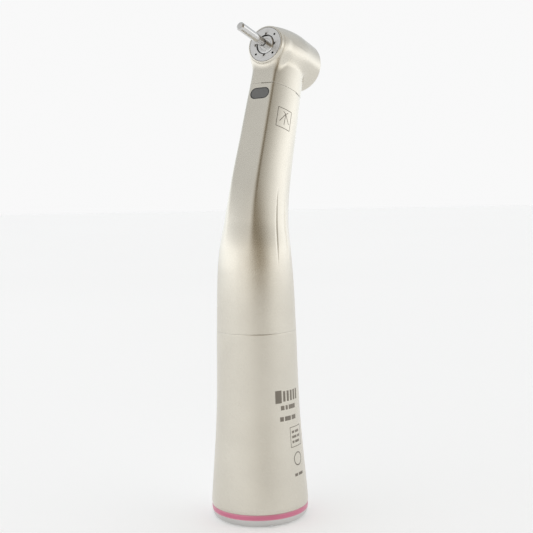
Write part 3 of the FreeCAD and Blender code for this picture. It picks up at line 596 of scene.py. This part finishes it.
def mark_stroke(work, point_at, start, end, width, scale):
    """Thin ribbon between two (place, turn) points; scale is the surface's mm per degree of turn."""
    run = np.array([end[0] - start[0], (end[1] - start[1]) * scale])
    length = np.linalg.norm(run)
    aside = np.array([-run[1], run[0]]) / length * width / 2
    steps = max(2, int(length / MARK_STEP))
    rows = []
    for share in np.linspace(0, 1, steps + 1):
        place, turn = np.array(start) + (np.array(end) - np.array(start)) * share
        for side in (-1, 1):
            spot = point_at(place + side * aside[0], turn + side * aside[1] / scale)
            rows.append(work.verts.new(tuple(spot)))
    for step in range(steps):
        low, high = 2 * step, 2 * step + 2
        work.faces.new((rows[low], rows[low + 1], rows[high + 1], rows[high]))


def box_strokes(box):
    """The four sides of a frame."""
    low, high, left, right = box
    corners = [(low, left), (low, right), (high, right), (high, left)]
    return list(zip(corners, corners[1:] + corners[:1]))


def marks_object(name, point_at, strokes, scale):
    """One object from (start, end, width) strokes."""
    work = bmesh.new()
    for start, end, width in strokes:
        mark_stroke(work, point_at, start, end, width, scale)
    return from_bmesh(name, work)


def sleeve_marks():
    """Plain bars, a framed block and a ring in place of the printed marks on the sleeve."""
    strokes = [((place, left), (place, right), height) for place, left, right, height in SLEEVE_BARS]
    strokes += [(start, end, MARK_LINE) for start, end in box_strokes(SLEEVE_BOX)]
    place, middle, half_height, half_turn = SLEEVE_RING
    ring = [(place + half_height * math.sin(turn), middle + half_turn * math.cos(turn))
            for turn in np.linspace(0, 2 * math.pi, 25)]
    strokes += [(start, end, SLEEVE_RING_LINE) for start, end in zip(ring, ring[1:])]
    return marks_object("sleeve_marks", sleeve_mark_point, strokes, SLEEVE_SCALE)


def neck_marks():
    """Framed spray symbol: a nozzle with three jets."""
    strokes = [(start, end, MARK_LINE) for start, end in box_strokes(NECK_BOX)]
    strokes += [(start, end, MARK_LINE * 1.1) for start, end in SPRAY_LINES]
    return marks_object("neck_marks", neck_mark_point, strokes, NECK_SCALE)


# ---- small trim -------------------------------------------------------------------------------------------
def window_seal():
    """Thin dark seal round the window glass."""
    profile = [(WINDOW_LENGTH - inset, WINDOW_WIDTH - inset, height) for inset, height in WINDOW_SEAL]
    return stadium_rings("window_seal", profile)


def nose_gap_painted_shade():
    """Dark ring low in the ring-shaped gap round the chuck: painted shade that stands in for the shadow in the
    gap.
    """
    return grid_object("nose_gap_painted_shade", bur_rings(NOSE_GAP_SHADE, NOSE_GAP_SHADE_COLUMNS))


def button_cover():
    """Push button: a cup turned about the bur axis, with a rounded rim and a slightly domed face."""
    turns = np.linspace(0, math.pi / 2, BUTTON_RIM_ROWS)
    rim = [(BUTTON_FACE + (BUTTON_RADIUS - BUTTON_FACE) * math.cos(turn),
            BUTTON_WALL + (BUTTON_EDGE - BUTTON_WALL) * math.sin(turn)) for turn in turns]
    face = [(BUTTON_FACE * share, BUTTON_BACK + (BUTTON_EDGE - BUTTON_BACK) * share * share)
            for share in np.linspace(1, BUTTON_PIP, BUTTON_FACE_ROWS)[1:]]
    skirt = [(BUTTON_BORE, BUTTON_FRONT), (BUTTON_RADIUS, BUTTON_FRONT)]
    inside = [(BUTTON_BORE * BUTTON_PIP, BUTTON_FLOOR), (BUTTON_BORE, BUTTON_FLOOR)]
    profile = np.array(inside + skirt + rim + face) * MM
    return grid_object("button_cover", bur_rings(profile, BUTTON_COLUMNS), close_rows=True)


def button_coil():
    """Spring behind the push button, a helix of round wire that tapers to a point at both ends."""
    laps = np.linspace(0, 2 * math.pi, SPRING_COLUMNS, endpoint=False)
    rings = []
    for step in range(SPRING_STEPS + 1):
        share = step / SPRING_STEPS
        turn = 2 * math.pi * SPRING_TURNS * share
        outward = math.cos(turn) * SIDE + math.sin(turn) * HEAD_UP
        centre = HEAD_CENTRE + BUR_AXIS * (SPRING_BACK + (SPRING_FRONT - SPRING_BACK) * share)
        wire = SPRING_TIP if step in (0, SPRING_STEPS) else SPRING_WIRE
        rings.append([centre + outward * (SPRING_RADIUS + wire * math.cos(lap))
                      + BUR_AXIS * wire * math.sin(lap) for lap in laps])
    return grid_object("button_coil", rings)


# ---- node materials ---------------------------------------------------------------------------------------
def node_tree(name):
    """New material with its node tree and shader."""
    material = bpy.data.materials.new(name)
    material.use_nodes = True
    tree = material.node_tree
    shader = tree.nodes["Principled BSDF"]
    return material, tree, shader


def add_node(tree, kind, **settings):
    """New node with the given settings."""
    node = tree.nodes.new(kind)
    for key, value in settings.items():
        setattr(node, key, value)
    return node


def noise(tree, scale, detail, stretch=(1, 1, 1)):
    """Noise in object space, in cycles per metre, stretched along the axes."""
    place = add_node(tree, "ShaderNodeTexCoord")
    mapping = add_node(tree, "ShaderNodeMapping")
    mapping.inputs["Scale"].default_value = stretch
    texture = add_node(tree, "ShaderNodeTexNoise")
    texture.inputs["Scale"].default_value = scale
    texture.inputs["Detail"].default_value = detail
    tree.links.new(place.outputs["Object"], mapping.inputs["Vector"])
    tree.links.new(mapping.outputs["Vector"], texture.inputs["Vector"])
    return texture.outputs["Fac"]


def span(tree, source, low, high, start=0.3, stop=0.7):
    """Maps a noise value to a range."""
    node = add_node(tree, "ShaderNodeMapRange")
    for key, value in (("From Min", start), ("From Max", stop), ("To Min", low), ("To Max", high)):
        node.inputs[key].default_value = value
    tree.links.new(source, node.inputs["Value"])
    return node.outputs["Result"]


def mixed(tree, factor, first, second):
    """Colour between two colours; each is a colour or a socket."""
    node = add_node(tree, "ShaderNodeMix", data_type="RGBA")
    tree.links.new(factor, node.inputs["Factor"])
    for socket, value in ((node.inputs[6], first), (node.inputs[7], second)):
        if isinstance(value, tuple):
            socket.default_value = (*value, 1)
        else:
            tree.links.new(value, socket)
    return node.outputs[2]


# Patches and grain in cycles per metre, relief depth, and the pointiness at which an edge wears.
PATCHES, GRAIN = 160, 9000
RELIEF = 0.02 * MM
WEAR_START, WEAR_FULL, WEAR_SHARE = 0.53, 0.60, 0.6


def edge_wear(tree):
    """Where convex edges are rubbed brighter."""
    geometry = add_node(tree, "ShaderNodeNewGeometry")
    return span(tree, geometry.outputs["Pointiness"], 0, WEAR_SHARE, WEAR_START, WEAR_FULL)


def surface(name, light, dark, metallic, roughness, bump=0.06, stretch=(1, 1, 1), spread=0.05,
            worn=None, coat=0.0):
    """Procedural surface: patchy colour, varied roughness, fine grain and optional edge wear."""
    material, tree, shader = node_tree(name)
    shader.inputs["Metallic"].default_value = metallic
    shader.inputs["Coat Weight"].default_value = coat
    cloud = noise(tree, PATCHES, 4)
    fine = noise(tree, GRAIN, 3, stretch)
    colour = mixed(tree, span(tree, cloud, 0, 1), dark, light)
    if worn:
        colour = mixed(tree, edge_wear(tree), colour, worn)
    tree.links.new(colour, shader.inputs["Base Color"])
    tree.links.new(span(tree, fine, roughness - spread, roughness + spread), shader.inputs["Roughness"])
    relief = add_node(tree, "ShaderNodeBump")
    relief.inputs["Strength"].default_value = bump
    relief.inputs["Distance"].default_value = RELIEF
    tree.links.new(fine, relief.inputs["Height"])
    tree.links.new(relief.outputs["Normal"], shader.inputs["Normal"])
    return material


ROUND_THE_HANDLE = (0.15, 0.15, 6.0)
# Looks by material slot.
SURFACES = {
    "casing": dict(light=(0.70, 0.665, 0.585), dark=(0.66, 0.625, 0.55), metallic=1.0, roughness=0.28,
                   bump=0.05, spread=0.03, worn=(0.80, 0.77, 0.71)),
    "polished_ring": dict(light=(0.64, 0.64, 0.63), dark=(0.56, 0.56, 0.55), metallic=1.0, roughness=0.12,
                          spread=0.05, bump=0.03, stretch=ROUND_THE_HANDLE),
    "colour_band": dict(light=(0.68, 0.19, 0.31), dark=(0.60, 0.155, 0.26), metallic=0.35, roughness=0.36,
                        bump=0.05, coat=0.4, worn=(0.72, 0.35, 0.42)),
    "button_face": dict(light=(0.66, 0.63, 0.57), dark=(0.60, 0.57, 0.51), metallic=1.0, roughness=0.27,
                        bump=0.08),
    "nose_face": dict(light=(0.56, 0.545, 0.52), dark=(0.50, 0.485, 0.465), metallic=1.0, roughness=0.36,
                      worn=(0.8, 0.8, 0.8)),
    "window_glass": dict(light=(0.15, 0.15, 0.145), dark=(0.12, 0.12, 0.118), metallic=0.0, roughness=0.16,
                         bump=0.02, coat=0.6),
    "light_guide": dict(light=(0.75, 0.85, 0.88), dark=(0.68, 0.80, 0.84), metallic=0.0, roughness=0.10),
    "bright_steel": dict(light=(0.60, 0.59, 0.57), dark=(0.52, 0.51, 0.49), metallic=1.0, roughness=0.16,
                         spread=0.06, bump=0.05, worn=(0.9, 0.9, 0.9)),
    "line_tube": dict(light=(0.60, 0.60, 0.60), dark=(0.50, 0.50, 0.51), metallic=1.0, roughness=0.28),
    "inner_frame": dict(light=(0.55, 0.55, 0.56), dark=(0.46, 0.46, 0.47), metallic=1.0, roughness=0.32,
                        stretch=ROUND_THE_HANDLE, bump=0.15, worn=(0.75, 0.75, 0.75)),
    "manifold": dict(light=(0.70, 0.52, 0.24), dark=(0.58, 0.42, 0.18), metallic=1.0, roughness=0.30,
                     worn=(0.85, 0.70, 0.42)),
    "gear_steel": dict(light=(0.42, 0.42, 0.43), dark=(0.33, 0.33, 0.34), metallic=1.0, roughness=0.33,
                       worn=(0.7, 0.7, 0.7)),
    "shaft_steel": dict(light=(0.60, 0.60, 0.61), dark=(0.52, 0.52, 0.53), metallic=1.0, roughness=0.22,
                        worn=(0.82, 0.82, 0.82)),
    "spring_steel": dict(light=(0.50, 0.50, 0.50), dark=(0.40, 0.40, 0.40), metallic=1.0, roughness=0.25),
    # Also the look of the dark ring in the gap round the chuck, which is painted shade for that gap's shadow.
    "seal_rubber": dict(light=(0.030, 0.030, 0.032), dark=(0.018, 0.018, 0.020), metallic=0.0, roughness=0.55,
                        bump=0.2),
    "bearing_race": dict(light=(0.62, 0.62, 0.63), dark=(0.52, 0.52, 0.54), metallic=1.0, roughness=0.18,
                         worn=(0.85, 0.85, 0.85)),
    "bearing_balls": dict(light=(0.75, 0.75, 0.77), dark=(0.65, 0.65, 0.68), metallic=1.0, roughness=0.10),
    "mark": dict(light=(0.27, 0.24, 0.20), dark=(0.20, 0.18, 0.15), metallic=0.3, roughness=0.5),
}


# ---- environment ------------------------------------------------------------------------------------------
# Softboxes: name, turn from the camera (degrees, right positive), width and power.
SOFTBOXES = (("left_softbox", -95, 0.70, 0.045), ("right_softbox", 85, 0.75, 0.035))
SOFTBOX_RISE = math.radians(8)
SOFTBOX_DISTANCE = 0.45
SOFTBOX_HEIGHT = 0.09
FLOOR_REACH = 12.0
FLOOR_GLOW = 0.27


def add_softbox(name, azimuth, width, power):
    """Softbox aimed at the middle of the object."""
    middle = (cad_low + cad_high) / 2
    turn, rise = CAMERA_AZIMUTH + math.radians(azimuth), SOFTBOX_RISE
    outward = Vector((math.sin(turn) * math.cos(rise), -math.cos(turn) * math.cos(rise), math.sin(rise)))
    light = bpy.data.lights.new(name, "AREA")
    light.shape = "RECTANGLE"
    light.size, light.size_y = width, SOFTBOX_HEIGHT
    light.energy = power
    thing = bpy.data.objects.new(name, light)
    thing.location = middle + outward * SOFTBOX_DISTANCE
    thing.rotation_euler = outward.to_track_quat("Z", "Y").to_euler()
    bpy.context.scene.collection.objects.link(thing)


# Studio brightness by direction: turn from the camera (degrees, right positive) and height (degrees).
BACKDROP = (0.63, 0.63, 0.63)
WORLD_ROUND = ((-180, (0.82, 0.86, 0.90)), (-120, (0.90, 0.93, 0.96)), (-80, (0.96, 0.97, 0.98)),
               (-45, (0.93, 0.92, 0.90)), (-20, (0.76, 0.73, 0.68)), (2, (0.28, 0.235, 0.17)),
               (22, (0.23, 0.185, 0.12)), (42, (0.56, 0.53, 0.48)), (62, (0.80, 0.79, 0.76)),
               (85, (0.98, 0.98, 0.98)), (130, (0.94, 0.96, 0.98)), (180, (0.82, 0.86, 0.90)))
WORLD_UP = ((-90, 0.80), (-3, 0.86), (5, 0.98), (11, 0.98), (19, 0.63), (27, 0.46), (40, 0.54),
            (60, 0.52), (90, 0.49))
WORLD_STRENGTH = 1.5


def ramp(tree, source, stops):
    """Smooth colour ramp through (place, colour) stops."""
    node = add_node(tree, "ShaderNodeValToRGB")
    node.color_ramp.interpolation = "B_SPLINE"
    elements = node.color_ramp.elements
    while len(elements) < len(stops):
        elements.new(0.5)
    for element, (place, colour) in zip(elements, stops):
        element.position = place
        element.color = (*colour, 1)
    tree.links.new(source, node.inputs["Fac"])
    return node.outputs["Color"]


def add_world():
    """Pale studio all round, dimmer in a gap beside the camera and overhead; white behind the object."""
    world = bpy.data.worlds.new("studio")
    bpy.context.scene.world = world
    world.use_nodes = True
    tree = world.node_tree
    place = add_node(tree, "ShaderNodeTexCoord")
    parts = []
    for axis in ((math.cos(CAMERA_AZIMUTH), math.sin(CAMERA_AZIMUTH), 0),
                 (math.sin(CAMERA_AZIMUTH), -math.cos(CAMERA_AZIMUTH), 0), (0, 0, 1)):
        product = add_node(tree, "ShaderNodeVectorMath", operation="DOT_PRODUCT")
        product.inputs[1].default_value = axis
        tree.links.new(place.outputs["Generated"], product.inputs[0])
        parts.append(product.outputs["Value"])
    azimuth = add_node(tree, "ShaderNodeMath", operation="ARCTAN2")
    tree.links.new(parts[0], azimuth.inputs[0])
    tree.links.new(parts[1], azimuth.inputs[1])
    round_way = ramp(tree, span(tree, azimuth.outputs[0], 0, 1, -math.pi, math.pi),
                     [((turn + 180) / 360, colour) for turn, colour in WORLD_ROUND])
    upward = ramp(tree, span(tree, parts[2], 0, 1, -1, 1),
                  [((math.sin(math.radians(rise)) + 1) / 2, (level,) * 3) for rise, level in WORLD_UP])
    product = add_node(tree, "ShaderNodeMix", data_type="RGBA", blend_type="MULTIPLY")
    product.inputs["Factor"].default_value = 1
    tree.links.new(round_way, product.inputs[6])
    tree.links.new(upward, product.inputs[7])
    path = add_node(tree, "ShaderNodeLightPath")
    seen = mixed(tree, path.outputs["Is Camera Ray"], product.outputs[2], BACKDROP)
    tree.links.new(seen, tree.nodes["Background"].inputs["Color"])
    tree.nodes["Background"].inputs["Strength"].default_value = WORLD_STRENGTH


def add_floor():
    """Plain pale floor, run out far enough to meet the white behind it."""
    level, reach = cad_low.z - 0.02 * MM, FLOOR_REACH
    corners = [(-reach, -reach, level), (reach, -reach, level), (reach, reach, level), (-reach, reach, level)]
    floor = new_object("studio_floor", corners, [(0, 1, 2, 3)])
    material, tree, shader = node_tree("studio_paper")
    cloud = noise(tree, 3, 2)
    tree.links.new(mixed(tree, span(tree, cloud, 0, 1), (0.93, 0.93, 0.93), (0.95, 0.95, 0.95)),
                   shader.inputs["Base Color"])
    shader.inputs["Roughness"].default_value = 0.9
    shader.inputs["Emission Color"].default_value = (1, 1, 1, 1)
    shader.inputs["Emission Strength"].default_value = FLOOR_GLOW
    floor.data.materials.append(material)


# ---- build ------------------------------------------------------------------------------------------------
materials = {slot: surface(slot, **settings) for slot, settings in SURFACES.items()}
slots = {part["node"]: part["material_slot"] for part in frame["record"]["subparts"]}
for name, node in frame["nodes"].items():
    node.data.materials.clear()
    node.data.materials.append(materials[slots[name]])
    sharpen(node, 30)

neck = neck_shell()
cut_window(neck)
sharpen(neck, 40)
head = head_shell()
sleeve = sleeve_shell()
sharpen(sleeve, 40)
for piece, node in ((neck, "neck_sheath"), (head, "head_housing"), (sleeve, "rear_sleeve")):
    piece.data.materials.append(materials["casing"])
    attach(piece, "handle")
    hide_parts(node)

# The dark ring in the gap round the chuck is painted shade for that gap's shadow; it wears the seal_rubber look.
for piece, look in ((sleeve_marks(), "mark"), (neck_marks(), "mark"), (window_seal(), "seal_rubber"),
                    (nose_gap_painted_shade(), "seal_rubber")):
    piece.data.materials.append(materials[look])
    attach(piece, "handle")

cover = button_cover()
sharpen(cover, 40)
cover.data.materials.append(materials["button_face"])
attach(cover, "button")
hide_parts("push_button")

coil = button_coil()
coil.data.materials.append(materials["spring_steel"])
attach(coil, "handle")
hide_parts("button_spring")
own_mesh(coil)

add_camera()
add_world()
add_floor()
for name, azimuth, width, power in SOFTBOXES:
    add_softbox(name, azimuth, width, power)
bpy.context.scene.view_settings.view_transform = "Standard"
